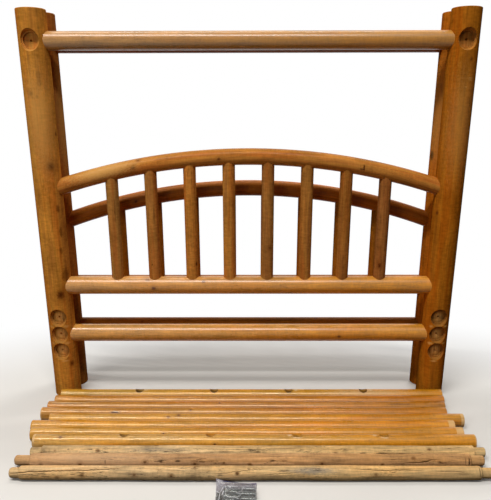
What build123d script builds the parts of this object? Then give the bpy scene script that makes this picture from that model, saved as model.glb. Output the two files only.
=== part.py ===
"""Rustic king-size canopy log bed, knocked down for storage.

The two end frames stand back to back.  The eight side rails lie side by side on the floor in front
of them, then three cross slats and a zip bag with the lag bolts and washers.  Millimetres, +Z up,
+X along the rails, -Y towards the loose pieces.  The origin is on the floor, at the middle of the
footprint.
"""
from build123d import *
import os
from math import asin, cos, degrees, radians, sin, sqrt

os.makedirs("parts", exist_ok=True)

# ---------------------------------------------------------------- driving dimensions
mattress_width = 1932.0          # clear width between the two posts of an end frame
mattress_length = 2028.0         # clear length between the posts of the two end frames

post_d = 143.0
post_height = 1994.0
post_top_round = 5.0             # eased edge at the top of a post
post_foot_chamfer = 3.0

joint_gap = 0.2                  # glue line round a coped shoulder
tenon_gap = 0.15                 # radial room of a glued tenon
tenon_end_gap = 2.0

# sockets for the side rails: a flared mouth, a short seat, a bolt hole and a washer recess behind
mouth_r = 50.5                   # radius of the flare where it meets the front of the post
flare_r = 40.5                   # radius at the foot of the flare
flare_depth = 25.0
seat_r = 35.8
seat_depth = 37.0
bolt_hole_r = 5.5
recess_r = 14.5
recess_depth = 9.0
overcut = 5.0                    # how far a cutter stands outside the wood

upper_socket_z = 1853.0
lower_socket_z = 369.0           # the middle one of the three lower sockets
socket_pitch = 97.0

# end frames: heights are those of the rails' axes
top_rail_z, top_rail_d = 1855.0, 86.5
bottom_rail_z, bottom_rail_d = 361.0, 96.0
spindle_rail_d = 97.0
arch_d = 82.5
rail_tenon_d = 52.0
rail_tenon_reach = 54.0          # how deep a rail's tenon enters its post
spindle_count = 8
spindle_pitch = 202.0
spindle_d = 65.0
spindle_tenon_d = 38.0
spindle_tenon_reach = 38.0
footboard_bottom_rail_drop = 8.0

# each end frame: height of its spindle rail, of its arch's crown, and the arch's radius
headboard = {"spindle_z": 635.5, "crown_z": 1313.0, "arch_r": 3225.0, "bottom_z": bottom_rail_z}
footboard = {"spindle_z": 606.0, "crown_z": 1140.0, "arch_r": 2900.0,
             "bottom_z": bottom_rail_z - footboard_bottom_rail_drop}

# loose side rails
rail_d = 71.0
rail_end_round = 3.0
pilot_r = 3.2
pilot_depth = 60.0

# the holes for the cross slats, and the slats
slat_count = 4                   # holes in each slat rail
slat_hole_pitch = 412.0
slat_hole_r = 23.3
slat_hole_depth = 52.0           # from the crown of the rail
slat_tenon_r = 22.9
slat_end_round = 5.0

# zip bag of hardware
bag_width, bag_depth, bag_height = 175.0, 205.0, 38.0
bag_corner = 6.0
bag_margin = 5.5                 # room left between the hardware and the bag's sides
film = 0.5
lag_d = 9.5                      # 3/8 inch lag bolts, 5 inches under the head
lag_length = 127.0
lag_head_af = 14.3
lag_head_height = 6.4
thread_length = 76.0
thread_pitch = 3.6
thread_root_r = 3.6
point_length = 9.0
bolt_rows = 8
bolt_row_pitch = 17.4
washer_r, washer_hole_r, washer_t = 12.7, 5.2, 1.7
washer_stacks, washers_in_stack = 4, 4
washer_stack_pitch = 30.0
part_gap = 0.4                   # air between loose pieces that lie on each other

# ---------------------------------------------------------------- layout
post_r = post_d / 2
post_x = mattress_width / 2 + post_r
seat_floor = post_r - seat_depth
frame_pitch = post_d + 1.5       # the frames stand back to back, all but touching
rail_length = mattress_length + 2 * seat_depth

# how far in front of the front frame's axis each loose piece lies, and how far its middle is off centre
rail_places = {
    "slat_rail_left": (131.0, 16.0),
    "upper_side_rail_left": (209.0, 4.0),
    "lower_side_rail_left": (281.0, -13.0),
    "canopy_rail_left": (353.0, -26.0),
    "canopy_rail_right": (424.5, 40.0),
    "lower_side_rail_right": (496.0, -29.0),
    "upper_side_rail_right": (567.5, -9.0),
    "slat_rail_right": (639.0, 26.0),
}
slat_hole_lean = {"slat_rail_left": 0.0, "slat_rail_right": 15.0}   # degrees back from upright

# slats, hand cut: setback, offset, body radius, length, left and right tenon lengths, shoulder taper
slat_places = {
    "cross_slat_1": (728.0, 41.0, 31.0, 2102.0, 51.0, 51.0, 6.0),
    "cross_slat_2": (799.0, 2.0, 31.0, 2120.0, 70.0, 60.0, 8.0),
    "cross_slat_3": (903.0, 12.0, 32.0, 2114.0, 34.0, 54.0, 22.0),
}
bag_setback = 940.0              # back edge of the bag
bag_offset = -52.0

overall_depth = bag_setback + bag_depth + frame_pitch + post_r
front_y = overall_depth / 2 - post_r - frame_pitch
rear_y = front_y + frame_pitch


def save(piece, label):
    """Name a finished sub-part and write it as one STEP file."""
    piece.part.label = label
    export_step(piece.part, f"parts/{label}.step")


def arch_height(frame, x):
    """Height of the arch's centre line above the floor, a distance x from the middle."""
    return frame["crown_z"] - frame["arch_r"] + sqrt(frame["arch_r"] ** 2 - x**2)


def arch_end(frame, side):
    """Plane at the post's face, square to the arch's centre line, its normal running into the post."""
    x = mattress_width / 2
    slope = asin(x / frame["arch_r"])
    return Plane(origin=(side * x, frame["y"], arch_height(frame, x)),
                 z_dir=(side * cos(slope), 0, -sin(slope)), x_dir=(0, 1, 0))


def spindle_xs():
    """X of every spindle, evenly spaced about the middle."""
    return [(i - (spindle_count - 1) / 2) * spindle_pitch for i in range(spindle_count)]


# ---------------------------------------------------------------- end frames
def make_post(frame, side):
    """One post: round log, four side-rail sockets and the mortises for its frame's four rails."""
    x, y, facing = side * post_x, frame["y"], frame["facing"]
    with BuildPart() as post:
        with BuildSketch(Plane.XY):
            with Locations((x, y)):
                Circle(post_r)
        extrude(amount=post_height)
        rims = post.edges().filter_by(GeomType.CIRCLE).sort_by(Axis.Z)
        fillet(rims[-1], post_top_round)
        chamfer(rims[0], post_foot_chamfer)

        # sockets, with the bolt hole right through and the washer's recess on the far side
        low = [lower_socket_z + k * socket_pitch for k in (-1, 0, 1)]
        for z in low + [upper_socket_z]:
            flare = (mouth_r - flare_r) / flare_depth
            with BuildSketch(Plane(origin=(x, y, z), x_dir=(1, 0, 0), z_dir=(0, 0, facing))):
                with BuildLine():
                    Polyline(
                        (0, post_r + overcut),
                        (mouth_r + overcut * flare, post_r + overcut),
                        (flare_r, post_r - flare_depth),
                        (seat_r, post_r - flare_depth),
                        (seat_r, seat_floor),
                        (bolt_hole_r, seat_floor),
                        (bolt_hole_r, recess_depth - post_r),
                        (recess_r, recess_depth - post_r),
                        (recess_r, -post_r - overcut),
                        (0, -post_r - overcut),
                        close=True,
                    )
                make_face()
            revolve(axis=Axis((x, y, z), (0, 1, 0)), mode=Mode.SUBTRACT)

        # mortises for the straight rails, then the slanting one for the arch
        mortise_depth = rail_tenon_reach + tenon_end_gap
        for z in (frame["bottom_z"], frame["spindle_z"], top_rail_z):
            with Locations(Plane(origin=(x - side * post_r, y, z), z_dir=(-side, 0, 0))):
                Hole(rail_tenon_d / 2 + tenon_gap, depth=mortise_depth)
        with BuildSketch(arch_end(frame, side).offset(-post_r)):
            Circle(rail_tenon_d / 2 + tenon_gap)
        extrude(amount=post_r + mortise_depth, mode=Mode.SUBTRACT)
    return post


def make_straight_rail(frame, z, diameter, mortised=False):
    """A rail between the posts: coped shoulders, a round tenon at each end, spindle mortises on top."""
    y = frame["y"]
    tenon_tip = mattress_width / 2 + rail_tenon_reach
    with BuildPart() as rail:
        with BuildSketch(Plane.YZ.offset(-post_x)):
            with Locations((y, z)):
                Circle(diameter / 2)
        extrude(amount=2 * post_x)
        with BuildSketch(Plane.XY.offset(z - diameter)):
            with Locations((-post_x, y), (post_x, y)):
                Circle(post_r + joint_gap)
        extrude(amount=2 * diameter, mode=Mode.SUBTRACT)
        with BuildSketch(Plane.YZ.offset(-tenon_tip)):
            with Locations((y, z)):
                Circle(rail_tenon_d / 2)
        extrude(amount=2 * tenon_tip)
        if mortised:
            with Locations(*[(x, y, z + diameter / 2) for x in spindle_xs()]):
                Hole(spindle_tenon_d / 2 + tenon_gap, depth=spindle_tenon_reach + tenon_end_gap)
    return rail


def arched_log(frame, radius):
    """The whole bowed log of this frame, running past both post axes."""
    reach = degrees(asin(post_x / frame["arch_r"]))
    with BuildPart() as log:
        with BuildLine(Plane.XZ.offset(-frame["y"])) as bow:
            CenterArc((0, frame["crown_z"] - frame["arch_r"]), frame["arch_r"], 90 - reach, 2 * reach)
        with BuildSketch(Plane(origin=bow.line @ 0, z_dir=bow.line % 0)):
            Circle(radius)
        sweep()
    return log.part


def make_arch_rail(frame):
    """The bowed top rail: coped to the posts, tenons along its slope, spindle mortises below."""
    y = frame["y"]
    log = arched_log(frame, arch_d / 2)
    with BuildPart() as arch:
        add(log)
        with BuildSketch(Plane.XY):
            with Locations((-post_x, y), (post_x, y)):
                Circle(post_r + joint_gap)
        extrude(amount=post_height, mode=Mode.SUBTRACT)
        # what the posts' cut leaves beyond them falls away
        extrude_limit = post_x + post_r
        with Locations((-extrude_limit, y, post_height / 2), (extrude_limit, y, post_height / 2)):
            Box(post_r, post_d, post_height, mode=Mode.SUBTRACT)
        for side in (-1, 1):
            with BuildSketch(arch_end(frame, side).offset(-post_r)):
                Circle(rail_tenon_d / 2)
            extrude(amount=post_r + rail_tenon_reach)
        for x in spindle_xs():
            axis_z = arch_height(frame, x)
            with BuildSketch(Plane.XY.offset(axis_z - arch_d)):
                with Locations((x, y)):
                    Circle(spindle_tenon_d / 2 + tenon_gap)
            extrude(amount=arch_d + tenon_end_gap, mode=Mode.SUBTRACT)
    return arch


def make_spindle(frame, x):
    """An upright spindle, coped onto the rail below and the arch above, with a tenon at each end."""
    y, foot_z, head_z = frame["y"], frame["spindle_z"], arch_height(frame, x)
    rail_top = foot_z + spindle_rail_d / 2
    log_above = arched_log(frame, arch_d / 2 + joint_gap)
    with BuildPart() as spindle:
        with BuildSketch(Plane.XY.offset(foot_z)):
            with Locations((x, y)):
                Circle(spindle_d / 2)
        extrude(amount=head_z - foot_z)
        with BuildSketch(Plane.YZ.offset(x - spindle_d)):
            with Locations((y, foot_z)):
                Circle(spindle_rail_d / 2 + joint_gap)
        extrude(amount=2 * spindle_d, mode=Mode.SUBTRACT)
        add(log_above, mode=Mode.SUBTRACT)
        tenon_foot = rail_top - spindle_tenon_reach
        with BuildSketch(Plane.XY.offset(tenon_foot)):
            with Locations((x, y)):
                Circle(spindle_tenon_d / 2)
        extrude(amount=head_z - tenon_foot)
    return spindle


headboard.update(y=front_y, facing=-1)
footboard.update(y=rear_y, facing=1)

for frame_name, end_frame in (("headboard", headboard), ("footboard", footboard)):
    save(make_post(end_frame, -1), f"{frame_name}_post_left")
    save(make_post(end_frame, 1), f"{frame_name}_post_right")
    save(make_straight_rail(end_frame, top_rail_z, top_rail_d), f"{frame_name}_top_rail")
    save(make_arch_rail(end_frame), f"{frame_name}_arch_rail")
    save(make_straight_rail(end_frame, end_frame["spindle_z"], spindle_rail_d, mortised=True),
         f"{frame_name}_spindle_rail")
    save(make_straight_rail(end_frame, end_frame["bottom_z"], bottom_rail_d),
         f"{frame_name}_bottom_rail")
    for number, spindle_x in enumerate(spindle_xs(), start=1):
        save(make_spindle(end_frame, spindle_x), f"{frame_name}_spindle_{number}")


# ---------------------------------------------------------------- loose side rails
def make_side_rail(setback, offset, hole_lean=None):
    """A side rail lying on the floor, with eased ends, pilot holes and maybe slat holes."""
    y, z = front_y - setback, rail_d / 2
    with BuildPart() as rail:
        with BuildSketch(Plane.YZ.offset(offset - rail_length / 2)):
            with Locations((y, z)):
                Circle(rail_d / 2)
        extrude(amount=rail_length)
        fillet(rail.edges().filter_by(GeomType.CIRCLE), rail_end_round)
        for side in (-1, 1):
            with Locations(Plane(origin=(offset + side * rail_length / 2, y, z), z_dir=(side, 0, 0))):
                Hole(pilot_r, depth=pilot_depth)
        if hole_lean is not None:
            lean = radians(hole_lean)
            for k in range(slat_count):
                x = offset + (k - (slat_count - 1) / 2) * slat_hole_pitch
                up = (0, sin(lean), cos(lean))
                crown = (x, y + up[1] * rail_d / 2, z + up[2] * rail_d / 2)
                with Locations(Plane(origin=crown, z_dir=up)):
                    Hole(slat_hole_r, depth=slat_hole_depth)
    return rail


for rail_name, (rail_setback, rail_offset) in rail_places.items():
    save(make_side_rail(rail_setback, rail_offset, slat_hole_lean.get(rail_name)), rail_name)


# ---------------------------------------------------------------- cross slats
def make_slat(setback, offset, body_r, length, left_tenon, right_tenon, taper):
    """A bare round slat: full body, tapered shoulders and a hand-cut tenon at each end."""
    y = front_y - setback
    start, end = offset - length / 2, offset + length / 2
    with BuildPart() as slat:
        with BuildSketch(Plane(origin=(0, y, body_r), x_dir=(1, 0, 0), z_dir=(0, 0, 1))):
            with BuildLine():
                Polyline(
                    (start, 0),
                    (start, slat_tenon_r),
                    (start + left_tenon, slat_tenon_r),
                    (start + left_tenon + taper, body_r),
                    (end - right_tenon - taper, body_r),
                    (end - right_tenon, slat_tenon_r),
                    (end, slat_tenon_r),
                    (end, 0),
                    close=True,
                )
            make_face()
        revolve(axis=Axis((0, y, body_r), (1, 0, 0)))
        rims = slat.edges().filter_by(GeomType.CIRCLE).sort_by(Axis.X)
        fillet([rims[0], rims[-1]], slat_end_round)
    return slat


for slat_name, slat_place in slat_places.items():
    save(make_slat(*slat_place), slat_name)


# ---------------------------------------------------------------- bag of hardware
bag_y = front_y - bag_setback - bag_depth / 2


def rounded_block(width, depth, height, corner, z):
    """A block with every edge rounded, standing on height z."""
    with Locations((bag_offset, bag_y, z + height / 2)):
        block = Box(width, depth, height, mode=Mode.PRIVATE)
    return block.fillet(corner, block.edges())


with BuildPart() as hardware_bag:
    add(rounded_block(bag_width, bag_depth, bag_height, bag_corner, 0))
    add(rounded_block(bag_width - 2 * film, bag_depth - 2 * film, bag_height - 2 * film,
                      bag_corner - film, film), mode=Mode.SUBTRACT)
save(hardware_bag, "hardware_bag")

# one lag bolt along +X, the underside of its head at the origin
lag_r = lag_d / 2
thread_start = lag_length - point_length - thread_length + point_length
crests = int((lag_length - point_length - thread_start) / thread_pitch)
profile = [(0, 0), (0, lag_r), (thread_start, lag_r), (thread_start + thread_pitch / 2, thread_root_r)]
for crest in range(crests - 1):
    ridge = thread_start + (crest + 1) * thread_pitch
    profile += [(ridge, lag_r), (ridge + thread_pitch / 2, thread_root_r)]
profile += [(lag_length, 0)]

with BuildPart() as lag_bolt:
    with BuildSketch(Plane.XY):
        with BuildLine():
            Polyline(*profile, close=True)
        make_face()
    revolve(axis=Axis.X)
    with BuildSketch(Plane.YZ.offset(-lag_head_height)):
        RegularPolygon(lag_head_af / 2, 6, major_radius=False)
    extrude(amount=lag_head_height)

# two layers of bolts, heads at alternating ends, the upper layer lying askew on the lower one
head_r = lag_head_af / sqrt(3)
bag_right = bag_offset + bag_width / 2 - film
bolt_total = lag_length + lag_head_height
bolt_middle = bag_right - bag_margin - bolt_total / 2
lower_z = film + head_r + part_gap
upper_z = lower_z + 2 * head_r + part_gap
rows_y = [bag_y - 18.0 + (k - (bolt_rows - 1) / 2) * bolt_row_pitch for k in range(bolt_rows)]
bolt_spots = []
for k, row_y in enumerate(rows_y):
    way = 1 if k % 2 else -1
    for z, skew in ((lower_z, 1.0), (upper_z, -2.0)):
        head_x = bolt_middle - way * (bolt_total / 2 - lag_head_height)
        turn = skew if way == 1 else 180 + skew
        bolt_spots.append(Location((head_x, row_y, z), (0, 0, turn)))

with BuildPart() as lag_bolts:
    with Locations(*bolt_spots):
        add(lag_bolt.part)
save(lag_bolts, "lag_bolts")

with BuildPart() as washers:
    for stack in range(washer_stacks):
        stack_x = bag_offset - bag_width / 2 + film + bag_margin + washer_r
        stack_y = rows_y[0] + washer_r + stack * washer_stack_pitch
        for level in range(washers_in_stack):
            z = film + part_gap + level * (washer_t + part_gap)
            with BuildSketch(Plane.XY.offset(z)):
                with Locations((stack_x, stack_y)):
                    Circle(washer_r)
                    Circle(washer_hole_r, mode=Mode.SUBTRACT)
            extrude(amount=washer_t)
save(washers, "washers")
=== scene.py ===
"""Dresses the knocked-down rustic log bed: stained end frames, loose side rails, slats, zip bag.

Everything is in metres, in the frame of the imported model: +X along the rails, -Y towards the
front, +Z up.  A place on a log is its distance along the log and its turn round it in degrees:
0 at the front and 90 at the crown of a lying log, or at the right of a standing one.
"""
import logging
import math
from collections.abc import Callable
from dataclasses import dataclass, replace
from enum import Enum
from typing import Any

import bpy
import numpy as np
from mathutils import Matrix, Vector


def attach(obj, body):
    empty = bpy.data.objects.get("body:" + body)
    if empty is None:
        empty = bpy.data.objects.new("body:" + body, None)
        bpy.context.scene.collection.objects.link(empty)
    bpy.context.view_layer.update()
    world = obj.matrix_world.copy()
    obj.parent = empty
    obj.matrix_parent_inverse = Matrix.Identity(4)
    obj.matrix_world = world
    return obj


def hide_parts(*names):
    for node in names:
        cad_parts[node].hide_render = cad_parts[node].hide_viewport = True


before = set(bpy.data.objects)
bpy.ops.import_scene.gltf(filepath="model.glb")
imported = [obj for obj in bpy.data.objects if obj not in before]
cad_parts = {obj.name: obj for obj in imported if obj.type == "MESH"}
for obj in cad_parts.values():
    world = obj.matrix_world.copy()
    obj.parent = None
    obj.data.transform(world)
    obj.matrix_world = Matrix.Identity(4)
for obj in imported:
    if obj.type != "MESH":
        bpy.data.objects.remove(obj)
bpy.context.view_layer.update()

LOG = logging.getLogger("log_bed")
Colour = tuple[float, float, float]
Place = tuple[float, float, float]
Path = tuple[tuple[float, float], ...]
WHITE: Colour = (1.0, 1.0, 1.0)


def srgb(code: str) -> Colour:
    """Turn a hexadecimal colour as it looks into the linear colour that a shader takes.

    Args:
        code: six hexadecimal digits.

    Returns:
        Red, green and blue, from 0 to 1.
    """
    shares = [int(code[i:i + 2], 16) / 255 for i in (0, 2, 4)]
    return tuple(c / 12.92 if c <= 0.04045 else ((c + 0.055) / 1.055) ** 2.4 for c in shares)


def hues(**codes: str) -> dict[str, Colour]:
    """Linear colours by name, from hexadecimal ones."""
    return {name: srgb(code) for name, code in codes.items()}


# ------------------------------------------------------------------ shader arithmetic
def joins(operation: str, turned: bool = False) -> Callable[["Wire", Any], "Wire"]:
    """Make one operator of Wire.

    Args:
        operation: the node's operation.
        turned: True for a reflected operator, whose own wire stands on the right.

    Returns:
        The operator's method.
    """
    def method(wire: "Wire", other: Any) -> "Wire":
        """Join the wire with another wire, a number or three numbers."""
        return wire.joined(operation, *((other, wire) if turned else (wire, other)))

    return method


class Wire:
    """A node's output that takes part in arithmetic.

    Numbers go through Math nodes.  A vector or a colour on either side sends the sum through
    Vector Math, so that no colour turns grey.
    """

    __add__ = __radd__ = joins("ADD")
    __sub__, __rsub__ = joins("SUBTRACT"), joins("SUBTRACT", turned=True)
    __mul__ = __rmul__ = joins("MULTIPLY")
    __truediv__, __pow__ = joins("DIVIDE"), joins("POWER")
    most, least = joins("MAXIMUM"), joins("MINIMUM")

    def __init__(self, shader: "Shader", socket: bpy.types.NodeSocket) -> None:
        """Hold one output socket of a shader's tree."""
        self.shader, self.socket = shader, socket

    def joined(self, operation: str, *sides: Any) -> "Wire":
        """Join one or two sides with a Math or Vector Math node.

        Args:
            operation: the node's operation.
            sides: wires, numbers or three numbers.

        Returns:
            The node's output.
        """
        wide = any(isinstance(side, tuple)
                   or (isinstance(side, Wire) and side.socket.type in {"VECTOR", "RGBA"})
                   for side in sides)
        kind = "ShaderNodeVectorMath" if wide else "ShaderNodeMath"
        return self.shader.node(kind, {"operation": operation}, dict(enumerate(sides)))

    def fract(self) -> "Wire":
        """What is left of the number after its whole part."""
        return self.joined("FRACT", self)

    def length(self) -> "Wire":
        """The vector's length."""
        return self.joined("LENGTH", self).beside("Value")

    def beside(self, out: int | str) -> "Wire":
        """Another output of the same node."""
        return Wire(self.shader, self.socket.node.outputs[out])

    def axes(self) -> tuple["Wire", "Wire", "Wire"]:
        """The vector's three numbers."""
        first = self.shader.node("ShaderNodeSeparateXYZ", {}, {0: self})
        return first, first.beside(1), first.beside(2)

    def rise(self, low: float, high: float) -> "Wire":
        """A smooth step from 0 at low to 1 at high; low may be the larger."""
        return self.shader.node("ShaderNodeMapRange", {"interpolation_type": "SMOOTHSTEP"},
                                {0: self, 1: low, 2: high, 3: 0.0, 4: 1.0})


class Shader:
    """The tree of nodes of a material or a world, and the few calls that grow it."""

    def __init__(self, owner: bpy.types.Material | bpy.types.World) -> None:
        """Empty the owner's tree.

        Args:
            owner: a new material or world.
        """
        self.owner = owner
        owner.use_nodes = True
        self.tree = owner.node_tree
        self.tree.nodes.clear()

    def node(self, kind: str, settings: dict[str, Any] | None = None,
             inputs: dict[int | str, Any] | None = None, out: int | str = 0) -> Wire:
        """Add a node: its settings first, then the values or links of its sockets.

        Args:
            kind: the node's type.
            settings: its properties by name.
            inputs: a wire, a number or several numbers for each socket, by place or name.
            out: which output is returned.

        Returns:
            That output.
        """
        made = self.tree.nodes.new(kind)
        for name, value in (settings or {}).items():
            setattr(made, name, value)
        for name, value in (inputs or {}).items():
            socket = made.inputs[name]
            if isinstance(value, Wire):
                self.tree.links.new(value.socket, socket)
            elif socket.type == "VECTOR" and not isinstance(value, tuple):
                socket.default_value = (value,) * 3
            elif socket.type == "RGBA":
                socket.default_value = (*value, 1.0)
            else:
                socket.default_value = value
        return Wire(self, made.outputs[out])

    def place(self) -> Wire:
        """The point's own coordinates, in metres."""
        return self.node("ShaderNodeTexCoord", out="Object")

    def carried(self, name: str) -> Wire:
        """A number that the mesh carries."""
        return self.node("ShaderNodeAttribute", {"attribute_name": name}, out="Fac")

    def seen(self) -> Wire:
        """1 for the eye, gloss and clear film, 0 for light that bounces."""
        path = self.node("ShaderNodeLightPath", out="Is Camera Ray")
        return path.most(path.beside("Is Glossy Ray")).most(path.beside("Is Transmission Ray"))

    def join(self, x: Any, y: Any, z: Any) -> Wire:
        """A vector from three numbers or wires."""
        return self.node("ShaderNodeCombineXYZ", {}, {0: x, 1: y, 2: z})

    def noise(self, where: Wire, detail: float = 2.0, rough: float = 0.5, warp: float = 0.0,
              out: str = "Fac") -> Wire:
        """Noise about 0.5, whose cells are 1 long in the coordinates given.

        Args:
            where: coordinates, already stretched.
            detail: how many finer layers it has.
            rough: how strong the finer layers are.
            warp: how much the pattern is bent.
            out: Fac for one number, Color for three.

        Returns:
            The noise.
        """
        return self.node("ShaderNodeTexNoise", {"noise_dimensions": "3D"},
                         {"Vector": where, "Scale": 1.0, "Detail": detail, "Roughness": rough,
                          "Distortion": warp}, out)

    def mix(self, amount: Any, first: Any, second: Any) -> Wire:
        """A colour between two: the first at 0, the second at 1."""
        return self.node("ShaderNodeMix", {"data_type": "RGBA", "clamp_factor": True},
                         {0: amount, 6: first, 7: second}, 2)

    def bump(self, height: Wire, distance: float, strength: float) -> Wire:
        """A normal bent by a height.

        Args:
            height: the relief, about 0 to 1.
            distance: how tall 1 is, in metres.
            strength: how much of it is used.

        Returns:
            The normal.
        """
        return self.node("ShaderNodeBump", {},
                         {"Strength": strength, "Distance": distance, "Height": height})

    def end(self, surface: Wire, kind: str = "Material") -> None:
        """Send a surface to the output of the material or world."""
        output = self.tree.nodes.new(f"ShaderNodeOutput{kind}")
        self.tree.links.new(surface.socket, output.inputs["Surface"])

    def close(self, **sockets: Any) -> bpy.types.Material:
        """End the tree in one Principled shader.

        Args:
            sockets: the shader's sockets, an underscore for each blank in a name.

        Returns:
            The finished material.
        """
        named = {name.replace("_", " "): value for name, value in sockets.items()}
        self.end(self.node("ShaderNodeBsdfPrincipled", {}, named))
        return self.owner


# ------------------------------------------------------------------ wood
class Lie(Enum):
    """How a log lies."""

    ALONG_X = "along x"
    ALONG_Z = "along z"
    BOWED = "bowed"


class Blemish(Enum):
    """What a mark on the wood is."""

    KNOT = "knot"
    STREAK = "streak"
    BLEACH_AND_SHEEN = "bleach_and_sheen"
    TORN = "torn"


K, S, B, T = Blemish.KNOT, Blemish.STREAK, Blemish.BLEACH_AND_SHEEN, Blemish.TORN


@dataclass(frozen=True)
class Mark:
    """One mark on a log."""

    along: float  # distance along the log, as X or Z
    turn: float  # degrees round the log
    reach: float = 0.012  # half its length along the log
    spread: float = 0.010  # half its width round the log
    kind: Blemish = K
    depth: float = 0.9  # how strongly it shows, 0 to 1


# The long kind-B patches about 1.5 m up the four posts are a painted sheen; the other kind-B marks
# are worn and bleached patches.
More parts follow.
